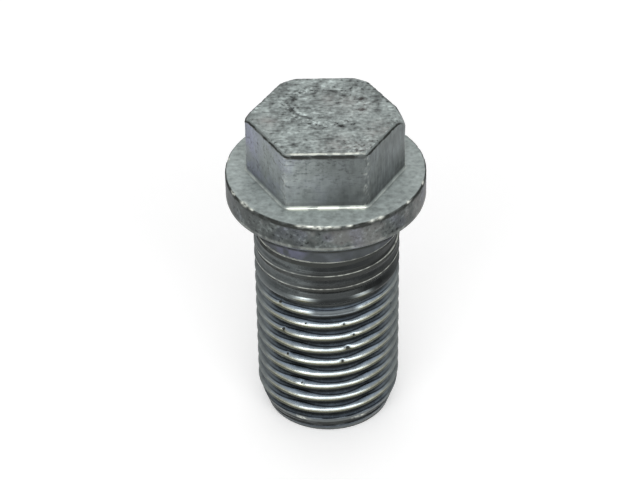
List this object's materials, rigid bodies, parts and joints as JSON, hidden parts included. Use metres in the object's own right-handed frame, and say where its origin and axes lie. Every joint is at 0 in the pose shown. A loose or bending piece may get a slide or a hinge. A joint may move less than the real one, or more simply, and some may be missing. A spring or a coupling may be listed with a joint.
{
  "type": "oil drain plug",
  "caption": "Flanged hexagon-head screw plug that seals an oil pan's drain hole: low hexagon, round flange, plain neck and a long metric thread with a tapered end.",
  "frame": {"origin": "centre of the flange's underside, the face that seals against the pan", "axes": "+Z along the thread's axis towards the top of the head; +X through a corner of the hexagon; +Y through a flat of the hexagon"},
  "size_m": [0.0188, 0.0188, 0.0331],
  "materials": {
    "zinc_plated_steel": "dull grey zinc plating, lightly scratched and stained"
  },
  "bodies": {
    "root": {"drain_plug": "zinc_plated_steel"}
  },
  "joints": []
}
